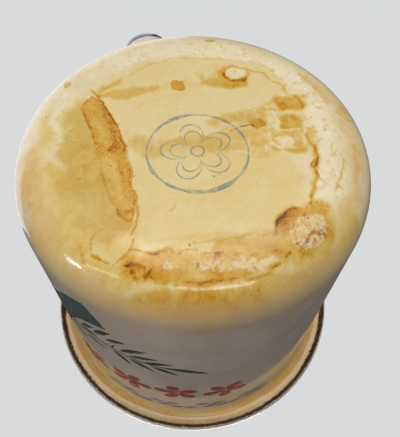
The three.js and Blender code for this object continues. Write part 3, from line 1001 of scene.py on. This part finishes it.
def buff_low_on_wall_mask(s, at):
    """A soft buff colour from the upper rounded edge that fades out up the wall."""
    fading = s.times(s.span(at.foot, 6.0, 24.0, 1.0, 0.0), s.span(at.height, 2.5, 8.0))
    return s.times(fading, at.outside, s.span(at.broad, 0.0, 1.0, 0.20, 0.6))


def rim_stain_and_reflection_mask(s, at):
    """Yellow in the hollow under the flange: stain, and a painted yellow reflection that brightens it.
    """
    hollow = s.span(at.height, CUP_HEIGHT - 6.0, CUP_HEIGHT - 1.5)
    return s.times(hollow, s.span(at.cloud, 0.0, 1.0, 0.5, 0.95), at.outside)


def cup_material(skin, mottle, crackle, chip):
    material, s = new_material("aged_enamel")
    place = s.place_in_mm()
    at = cup_looks(s, mottle, place)
    stain = stain_level(s, at, crackle)
    coloured = stained(s, at, bare_enamel(s, at, crackle), stain)
    crust, white = scale_masks(s, at)
    # The flange's gold holds a painted reflection as well as stain.
    for mask, colour in (
        (white, SCALE_WHITE), (s.times(stamp_ink(s, place), 0.80), STAMP_BLUE),
        (buff_low_on_wall_mask(s, at), CORNER_BUFF), (rim_stain_and_reflection_mask(s, at), RIM_GOLD),
    ):
        coloured = s.mix(mask, coloured, srgb(colour))
    coloured, skin_height = under_skin(s, skin, place, coloured, (1.0, 0.10, 1.0), PIN_DIRT, 0.6)
    # The dark band in the rim's groove: chipped, rusty enamel with painted shade where the roll
    # overhangs it.
    chipped = use(s, chip, {"Place": place, "Distance": s.field("groove"), "Reach": 0.50})
    coloured = s.mix(s.times(chipped["Lip"], 0.55), coloured, srgb(BLED_RUST))
    coloured = s.mix(chipped["Mask"], coloured, chipped["Colour"])

    matt_base = s.times(s.span(at.height, 0.8, 3.5, 1.0, 0.0), at.outside)
    rough = s.plus(s.times(matt_base, 0.17), 0.09, s.times(crust, 0.40),
                   s.times(chipped["Mask"], 0.5))
    rough = s.math("ADD", rough, s.times(s.span(at.dust, 0.3, 0.7), 0.06), clamp=True)
    bump = s.plus(skin_height, s.times(crust, 0.10), s.times(at.covered, at.grain, 0.20),
                  s.times(at.bubbles, 0.25))
    bump = s.minus(bump, s.times(chipped["Mask"], 0.6))
    return finish_enamel(material, s, coloured, rough, bump)


# ---------------------------------------------------------------- painted decoration, and a painted reflection under the rim
# A brush stroke on the wall is a line of (degrees round the wall, height above the base in
# millimetres, half width in millimetres). Degrees run as in the turned-over view.
MM_PER_DEGREE = BODY_RADIUS * math.pi / 180
PAINT_RISE = 0.05
PAINT_LAP = 0.006  # each stroke lies this much over or under the next
PAINT_EDGE = 0.03
PAINT_SINK = 0.04
PAINT_ACROSS = 4
FINEST_HALF = 0.04

BROAD_LEAF = [(
    (-118.6, 20.2, 5.5), (-125.5, 22.8, 5.3), (-132.5, 27.2, 5.2), (-139.0, 34.5, 5.1),
    (-145.0, 44.0, 4.9), (-150.5, 54.5, 4.6), (-156.0, 66.0, 3.9), (-161.0, 76.0, 2.4),
    (-163.5, 81.5, 0.2),
)]
SPRIG_LEAVES = [
    ((-122.5, 33.6), (-114.6, 26.8), 1.15), ((-117.6, 33.8), (-109.8, 29.4), 1.0),
    ((-113.0, 37.2), (-103.0, 31.0), 1.15), ((-109.8, 38.6), (-99.4, 35.0), 1.0),
    ((-105.4, 40.3), (-95.0, 37.2), 1.0), ((-97.8, 40.3), (-83.2, 43.6), 1.2),
    ((-116.2, 39.8), (-110.2, 46.0), 1.1), ((-110.4, 40.8), (-101.4, 46.0), 1.05),
    ((-102.4, 41.6), (-93.2, 45.9), 1.0), ((-128.6, 35.6), (-121.6, 29.6), 0.9),
    ((-130.0, 38.0), (-121.4, 35.6), 0.85), ((-128.0, 41.2), (-119.6, 42.6), 0.9),
    ((-135.4, 41.0), (-129.6, 46.6), 0.8), ((-116.4, 37.8), (-113.8, 34.2), 0.45),
]
SPRIG_STEM = [(
    (-135.0, 38.8, 0.25), (-128.0, 37.8, 0.35), (-119.0, 38.2, 0.38), (-109.0, 39.6, 0.36),
    (-98.0, 40.6, 0.30), (-93.0, 41.6, 0.2),
)]
LEAF_WIDTHS = ((0, 0.12), (0.2, 0.72), (0.45, 1.0), (0.75, 0.62), (1, 0.05))
LEAF_BEND = 0.05
# Blossoms are (degrees, height, turn in degrees); petals and stamens run out from the middle.
BLOSSOM_ROW = [(-132.8, 65.0, 14), (-113.8, 64.6, -8), (-94.8, 64.4, 28), (-75.8, 64.2, 4)]
PETAL = ((1.2, 0.4), (2.6, 1.35), (4.4, 1.9), (6.1, 1.45), (6.9, 0.3))
PETAL_BEND = 0.05
STAMEN = ((0.5, 0.3), (1.6, 0.34), (3.0, 0.2))
# The grey-blue dashes under the rim are a painted reflection of a blue cloth, drawn as brush strokes.
DASH_BUNCHES = (-121.0, -102.5, -83.0, -64.5)
DASH_HEIGHT = 82.0
DASH_PLACES = ((-5.5, 0.2), (2.2, -0.4), (8.0, 0.5), (-1.0, -3.6), (5.4, -3.2))
DASH_HALF = (3.4, 0.4, 1.15)  # degrees and millimetres to its tips, and its half width


def smooth_line(points, per_gap=8):
    """Points along a smooth curve through the given points."""
    data = np.array(points, float)
    padded = np.vstack([2 * data[0] - data[1], data, 2 * data[-1] - data[-2]])
    found = []
    for i in range(1, len(padded) - 2):
        p0, p1, p2, p3 = padded[i - 1:i + 3]
        for step in range(per_gap):
            t = step / per_gap
            found.append(0.5 * (
                2 * p1 + (p2 - p0) * t + (2 * p0 - 5 * p1 + 4 * p2 - p3) * t * t
                + (3 * p1 - p0 - 3 * p2 + p3) * t ** 3
            ))
    found = np.array(found + [padded[-2]])
    found[:, 2] = np.maximum(found[:, 2], FINEST_HALF)
    return found


def on_wall(degrees, height, rise):
    """A place on the wall in the frame, in millimetres."""
    angle = math.radians(degrees)
    radius = BODY_RADIUS + rise
    return tuple(turned_over(radius * math.cos(angle), radius * math.sin(angle), -height) / MM)


def leaf_stroke(start, end, half):
    """A lens-shaped stroke with a slight bend, from its foot to its tip."""
    (d0, h0), (d1, h1) = start, end
    lift = LEAF_BEND * math.hypot((d1 - d0) * MM_PER_DEGREE, h1 - h0)
    return [
        (d0 + (d1 - d0) * share,
         h0 + (h1 - h0) * share - lift * math.sin(math.pi * share), half * wide)
        for share, wide in LEAF_WIDTHS
    ]


def blossom_strokes(degrees, height, turn):
    """Five petals and a ring of short stamens, each a brush stroke."""
    def ray(angle, line, bend=0.0):
        return [(degrees + reach * math.cos(angle + bend * reach) / MM_PER_DEGREE,
                 height + reach * math.sin(angle + bend * reach), half) for reach, half in line]

    found = []
    for i in range(5):
        angle = math.radians(turn + 72 * i)
        found += [ray(angle, PETAL, PETAL_BEND), ray(angle + math.radians(36), STAMEN)]
    return found


# Strokes of a painted reflection of a blue cloth, in bunches under the rim.
def reflection_dash_strokes():
    across, down, half = DASH_HALF
    return [
        leaf_stroke((bunch + step - across, DASH_HEIGHT + drop + down),
                    (bunch + step + across, DASH_HEIGHT + drop - down), half)
        for bunch in DASH_BUNCHES for step, drop in DASH_PLACES
    ]


def stroke_points(stations, rise):
    """Rings of points round a brush stroke: its face and then its back, side to side."""
    along = np.gradient(stations[:, :2] * [MM_PER_DEGREE, 1.0], axis=0)
    along /= np.linalg.norm(along, axis=1)[:, None]
    places = []
    for (degrees, height, half), (du, dh) in zip(stations, along):
        for face in (rise, -PAINT_SINK):
            for k in range(PAINT_ACROSS + 1):
                across = half * (2 * k / PAINT_ACROSS - 1)
                edge = PAINT_EDGE if face > 0 and k in (0, PAINT_ACROSS) else 0.0
                places.append(on_wall(degrees - dh * across / MM_PER_DEGREE,
                                      height + du * across, face - edge))
    return places


def painted(name, strokes, material):
    """Brush strokes as one thin closed mesh that follows the wall."""
    places, faces = [], []
    ring = 2 * (PAINT_ACROSS + 1)
    order = list(range(PAINT_ACROSS + 1)) + list(range(ring - 1, PAINT_ACROSS, -1))
    for number, line in enumerate(strokes):
        stations = smooth_line(line)
        first = len(places)
        places += stroke_points(stations, PAINT_RISE + PAINT_LAP * (number % 3))
        for station in range(len(stations) - 1):
            here = first + station * ring
            for a, b in zip(order, order[1:] + order[:1]):
                faces.append((here + a, here + b, here + ring + b, here + ring + a))
        last = first + (len(stations) - 1) * ring
        faces.append(tuple(first + i for i in reversed(order)))
        faces.append(tuple(last + i for i in order))
    made = mesh_object(name, places, faces)
    made.data.materials.append(material)
    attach(made, "root")


def paint_material(name, thin, full, dark, skin, mottle):
    """Fired-on paint: streaks of thicker and thinner colour under the same glaze."""
    material, s = new_material(name)
    place = s.place_in_mm()
    cloud = clouded(s, mottle, place, 5.0, 0.45)
    streaks = s.noise(place, 1.4, 4.0, 0.65, 0.8)
    load = s.plus(s.times(cloud, 0.6), s.times(streaks, 0.5))
    coloured = s.ramp(load, [(0.12, thin), (0.5, full), (0.85, dark)])
    glaze = use(s, skin, {"Place": place, "Wave": 1.0, "Peel": 0.14, "Pin holes": 0.6})
    height = s.plus(glaze["Height"], s.times(streaks, 0.12))
    return finish_enamel(material, s, coloured, s.span(cloud, 0.0, 1.0, 0.12, 0.24), height)


def build_decoration(skin, mottle):
    leaf_green = paint_material("leaf_green_paint", "52706a", "34554f", "22403e", skin, mottle)
    dark_green = paint_material("dark_green_paint", "4e6450", "2b4236", "1c2e28", skin, mottle)
    red = paint_material("red_paint", "c2606c", "a62a3e", "841a2c", skin, mottle)
    # Grey-blue strokes that are a painted reflection, not decoration.
    blue = paint_material("grey_blue_reflection_paint", "8f9bb4", "62709a", "46558a", skin, mottle)
    sprig = [leaf_stroke(*leaf) for leaf in SPRIG_LEAVES] + SPRIG_STEM
    blossoms = [line for place in BLOSSOM_ROW for line in blossom_strokes(*place)]
    painted("painted_broad_leaf", BROAD_LEAF, leaf_green)
    painted("painted_sprig", sprig, dark_green)
    painted("painted_blossoms", blossoms, red)
    painted("painted_blue_reflection_dashes", reflection_dash_strokes(), blue)


# ---------------------------------------------------------------- the handle
BEND_STEPS = 18
FOOT_BEND_STEPS = 8
FOOT_STEPS = 6
ARM_STEPS = 10
GRIP_STEPS = 8
STRAP_STEPS = 24
LIP_STEPS = 5
LIP_FULLNESS = 0.8
FOOT_END_CUT = 0.8
NAVY_FROM = 16.3


def handle_ridge():
    """Ridge points from foot to foot, outward directions, and how round the channel is."""
    high, low = HANDLE_HIGH_RIDGE, HANDLE_LOW_RIDGE
    grip_x = BODY_RADIUS + HANDLE_REACH
    foot_x, bend_x = SEAT_RADIUS + FOOT_BEND_RADIUS, grip_x - HANDLE_BEND_RADIUS
    foot_z, bend_z = low + FOOT_BEND_RADIUS, low + HANDLE_BEND_RADIUS
    middle = (low + high) / 2
    line = [((SEAT_RADIUS, foot_z + FOOT_LENGTH * (1 - i / FOOT_STEPS)), (-1, 0), 0.0)
            for i in range(FOOT_STEPS)]
    foot = arc(foot_x, foot_z, FOOT_BEND_RADIUS, 180, 270, FOOT_BEND_STEPS)
    line += [(at, out, FLARE_IN_BEND * i / FOOT_BEND_STEPS) for i, (at, out) in enumerate(foot)]
    for i in range(1, ARM_STEPS):
        t = i / ARM_STEPS
        at = (foot_x + (bend_x - foot_x) * t, low)
        line.append((at, (0, -1), FLARE_IN_BEND + (1 - FLARE_IN_BEND) * t))
    line += [(at, out, 1.0)
             for at, out in arc(bend_x, bend_z, HANDLE_BEND_RADIUS, -90, 0, BEND_STEPS)]
    straight = high - low - 2 * HANDLE_BEND_RADIUS
    line += [((grip_x, bend_z + straight * i / GRIP_STEPS), (1, 0), 1.0)
             for i in range(1, GRIP_STEPS // 2)]
    upper = [((at[0], 2 * middle - at[1]), (out[0], -out[1]), share)
             for at, out, share in reversed(line)]
    return line + [((grip_x, middle), (1, 0), 1.0)] + upper


def fall_behind_ridge(across, half_width, depth, share_round):
    """How far behind the ridge a face lies, from the wall's curve to the full channel."""
    share = min(1.0, abs(across) / half_width)
    channel = depth * (1 - math.sqrt(1 - share * share))
    curve = SEAT_RADIUS - math.sqrt(SEAT_RADIUS * SEAT_RADIUS - across * across)
    return share_round * channel - (1 - share_round) * curve


def strap_section(share_round, half):
    """The strap's outline, as (across, along the outward direction), with soft lips."""
    inner = half - STRAP_SHEET * share_round
    inner_depth = STRAP_DEPTH - STRAP_SHEET
    swings = [math.cos(math.pi * i / STRAP_STEPS) for i in range(STRAP_STEPS + 1)]
    outer_face = [(-half * c, -fall_behind_ridge(-half * c, half, STRAP_DEPTH, share_round))
                  for c in swings]
    inner_face = [
        (-inner * c, -STRAP_SHEET - fall_behind_ridge(-inner * c, inner, inner_depth, share_round))
        for c in reversed(swings)
    ]
    lip = [lip_point(outer_face[-1], inner_face[0], i / LIP_STEPS) for i in range(1, LIP_STEPS)]
    other_lip = [(-across, along) for across, along in reversed(lip)]
    return outer_face + lip + inner_face + other_lip


def lip_point(start, end, share):
    """A point on the rounded lip between the outer and inner faces."""
    angle = math.pi * share
    mx, my = (start[0] + end[0]) / 2, (start[1] + end[1]) / 2
    hx, hy = (start[0] - end[0]) / 2, (start[1] - end[1]) / 2
    length = math.hypot(hx, hy)
    out_x, out_y = -hy / length, hx / length
    turned_back = out_x < 0 if abs(hy) >= abs(hx) else out_y > 0
    if turned_back:
        out_x, out_y = -out_x, -out_y
    reach = STRAP_SHEET / 2 * LIP_FULLNESS * math.sin(angle)
    return (mx + hx * math.cos(angle) + out_x * reach, my + hy * math.cos(angle) + out_y * reach)


def half_width(height, share_round):
    """Half the strap's width, which is rounded off at the end of each foot."""
    foot_end = FOOT_BEND_RADIUS + FOOT_LENGTH
    gap = min(abs(height - (HANDLE_LOW_RIDGE + foot_end)),
              abs(height - (HANDLE_HIGH_RIDGE - foot_end)))
    if share_round > 0.0 or gap >= FOOT_END_ROUND:
        return STRAP_WIDTH / 2
    cut = FOOT_END_ROUND - math.sqrt(FOOT_END_ROUND ** 2 - (FOOT_END_ROUND - gap) ** 2)
    return STRAP_WIDTH / 2 - cut * FOOT_END_CUT


def build_handle():
    ridge = handle_ridge()
    places = [
        (at[0] + out[0] * along, across, at[1] + out[1] * along)
        for at, out, share_round in ridge
        for across, along in strap_section(share_round, half_width(at[1], share_round))
    ]
    ring = len(places) // len(ridge)
    faces = []
    for r in range(len(ridge) - 1):
        for i in range(ring):
            a, b = r * ring + i, r * ring + (i + 1) % ring
            faces.append((a, b, b + ring, a + ring))
    faces.append(tuple(reversed(range(ring))))
    faces.append(tuple((len(ridge) - 1) * ring + i for i in range(ring)))
    handle = mesh_object("handle_strap_enamelled", places, faces)
    outer_face = np.tile(np.arange(ring) <= STRAP_STEPS, len(ridge))
    add_field(handle, "outer_face", outer_face.astype(float))
    return handle


def handle_material(skin, mottle):
    """White enamel, with navy on the outer face from a little way along the arms."""
    material, s = new_material("handle_enamel")
    place = s.place_in_mm()
    cloud = clouded(s, mottle, place, 9.0, 0.4)
    white = s.ramp(cloud, [(0.0, "e9e2d8"), (1.0, "ded4c6")])
    navy = s.ramp(cloud, [(0.0, "1d2c66"), (1.0, "2c3f83")])
    reach = s.minus(s.parts(place)["X"], BODY_RADIUS)
    wobble = s.times(s.minus(s.noise(place, 0.25, 2.0), 0.5), 1.6)
    on_navy = s.times(s.span(s.plus(reach, wobble), NAVY_FROM, NAVY_FROM + 0.3),
                      s.span(s.field("outer_face"), 0.3, 0.7))
    coloured = s.mix(on_navy, white, navy)
    coloured, height = under_skin(s, skin, place, coloured, (1.0, 0.12, 0.7), "3a2c1c", 0.6)
    return finish_enamel(material, s, coloured, s.span(cloud, 0.0, 1.0, 0.10, 0.2), height)


def weld_material(skin, mottle):
    material, s = new_material("weld_enamel")
    place = s.place_in_mm()
    cloud = clouded(s, mottle, place, 2.2, 0.5)
    coloured = s.ramp(cloud, [(0.0, "d9cfbf"), (0.6, "e2dacd"), (1.0, "c8b48f")])
    coloured, height = under_skin(s, skin, place, coloured, (0.4, 0.2, 1.0), "4a3520", 0.7)
    return finish_enamel(material, s, coloured, s.span(cloud, 0.0, 1.0, 0.12, 0.28), height)


WELD_TURNS = 36
WELD_SINK = 0.5
# The dished dome, from its middle out, in shares of the weld's radius and of how proud it is.
WELD_DOME = ((0, 0.5), (0.25, 0.56), (0.5, 0.8), (0.68, 1.0), (0.84, 0.72), (0.95, 0.3))


def build_weld(name, side, height):
    """A spot weld: a shallow dished dome fused into the foot, turned about the wall's radius."""
    half = WELD_DIAMETER / 2
    profile = [(half * across, WELD_PROUD * proud) for across, proud in WELD_DOME]
    profile += [(half * 1.02, -0.03), (half, -WELD_SINK), (0, -WELD_SINK)]
    dome, places = revolved(name, profile, WELD_TURNS)
    swing = side * WELD_SPACING / 2 / BODY_RADIUS
    out = np.array([math.cos(swing), math.sin(swing), 0.0])
    flank = np.array([-math.sin(swing), math.cos(swing), 0.0])
    up = np.array([0.0, 0.0, 1.0])
    from_axis = SEAT_RADIUS + STRAP_SHEET + places[:, 2:3]
    move_points(dome, out * from_axis + flank * places[:, 0:1] + up * (places[:, 1:2] + height))
    return dome


# ---------------------------------------------------------------- floor, lights, world
FLOOR_HALF = 3.0  # metres
FLOOR_GAP = 0.0004


def make_floor():
    """A pale sheet that is lit from itself, and clear when seen from below."""
    corners = [(x * FLOOR_HALF, y * FLOOR_HALF, 0) for x, y in ((-1, -1), (1, -1), (1, 1), (-1, 1))]
    mesh = bpy.data.meshes.new("floor")
    mesh.from_pydata(corners, [], [(0, 1, 2, 3)])
    floor = bpy.data.objects.new("floor", mesh)
    bpy.context.scene.collection.objects.link(floor)
    floor.location.z = -FLOOR_GAP
    material, s = new_material("pale_floor")
    paper = s.node("ShaderNodeBsdfDiffuse", {"Color": srgb("747576")}).outputs[0]
    clear = s.node("ShaderNodeBsdfTransparent").outputs[0]
    behind = s.node("ShaderNodeNewGeometry").outputs["Backfacing"]
    glow = s.node("ShaderNodeEmission", {"Color": srgb("d6d7d8"), "Strength": 0.74}).outputs[0]
    lit = s.node("ShaderNodeAddShader", {0: paper, 1: glow}).outputs[0]
    shown = s.node("ShaderNodeMixShader", {0: behind, 1: lit, 2: clear}).outputs[0]
    s.node("ShaderNodeOutputMaterial", {"Surface": shown})
    mesh.materials.append(material)
    for ray in ("diffuse", "glossy", "transmission", "shadow"):
        setattr(floor, f"visible_{ray}", False)


def soft_light(name, towards, distance, size, power, colour="ffffff", glossy=True):
    """A soft box that hangs in the given direction of the turned-over view and faces the mug."""
    data = bpy.data.lights.new(name, "AREA")
    data.shape = "RECTANGLE"
    data.size, data.size_y = size
    data.energy = power
    data.color = srgb(colour)[:3]
    light = bpy.data.objects.new(name, data)
    bpy.context.scene.collection.objects.link(light)
    way = turned_over(*towards).normalized()
    up = way.cross(turned_over(1, 0, 0).normalized()).normalized()
    side = up.cross(way).normalized()
    place = Vector((0, 0, CUP_HEIGHT / 2 * MM)) + way * distance
    light.matrix_world = axes_matrix(side, up, way, place)
    light.visible_camera = False
    light.visible_glossy = glossy


def make_lights():
    left = (-0.86, -0.47, 0.20)
    soft_light("sky_over_base", (0.04, 0.05, 1.0), 0.9, (0.8, 0.8), 7.0, "fbf8ec")
    soft_light("window_left", left, 0.6, (0.09, 0.045), 0.40)
    soft_light("fill_left", left, 0.7, (0.4, 0.4), 0.55, "eef0ff", glossy=False)
    soft_light("window_front", (0.18, -0.75, 0.60), 0.6, (0.40, 0.03), 0.40)
    soft_light("window_front_left", (-0.665, -0.596, 0.452), 0.6, (0.22, 0.015), 0.12, "ffe6ae")
    soft_light("studio_handle_side", (-0.60, 0.80, -0.35), 1.3, (1.6, 1.6), 8.5)
    soft_light("studio_right", (0.95, 0.50, -0.30), 1.3, (1.5, 1.5), 5.5, glossy=False)
    soft_light("studio_over_mouth", (0.0, 0.12, -1.0), 1.1, (0.5, 0.5), 10.0)


def make_world():
    world = bpy.data.worlds.new("studio")
    bpy.context.scene.world = world
    world.use_nodes = True
    s = Shader(world.node_tree)
    seen = s.node("ShaderNodeLightPath").outputs["Is Camera Ray"]
    ambient, backdrop = [
        s.node("ShaderNodeBackground", {"Color": srgb(colour), "Strength": strength}).outputs[0]
        for colour, strength in (("dcd3cc", 0.118), ("d9dadb", 1.0))
    ]
    both = s.node("ShaderNodeMixShader", {0: seen, 1: ambient, 2: backdrop}).outputs[0]
    s.node("ShaderNodeOutputWorld", {"Surface": both})


# ---------------------------------------------------------------- putting it together
bpy.context.scene.view_settings.view_transform = "Standard"
make_camera()
make_world()
make_lights()
make_floor()

skin, mottle, crackle, chip = enamel_skin_group(), mottle_group(), crackle_group(), chip_group()

cup = build_cup()
cup.data.materials.append(cup_material(skin, mottle, crackle, chip))
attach(cup, "root")
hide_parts("cup_shell")

handle = build_handle()
handle.data.materials.append(handle_material(skin, mottle))
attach(handle, "root")
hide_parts("handle_strap")

weld_finish = weld_material(skin, mottle)
from_bend = FOOT_BEND_RADIUS + FOOT_LENGTH / 2
weld_heights = {
    "lower": HANDLE_LOW_RIDGE + from_bend,
    "upper": HANDLE_HIGH_RIDGE - from_bend,
}
for level, height in weld_heights.items():
    for hand, side in (("left", 1), ("right", -1)):
        weld = build_weld(f"weld_{level}_{hand}_enamelled", side, height)
        weld.data.materials.append(weld_finish)
        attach(weld, "root")
        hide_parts(f"weld_{level}_{hand}")

build_decoration(skin, mottle)
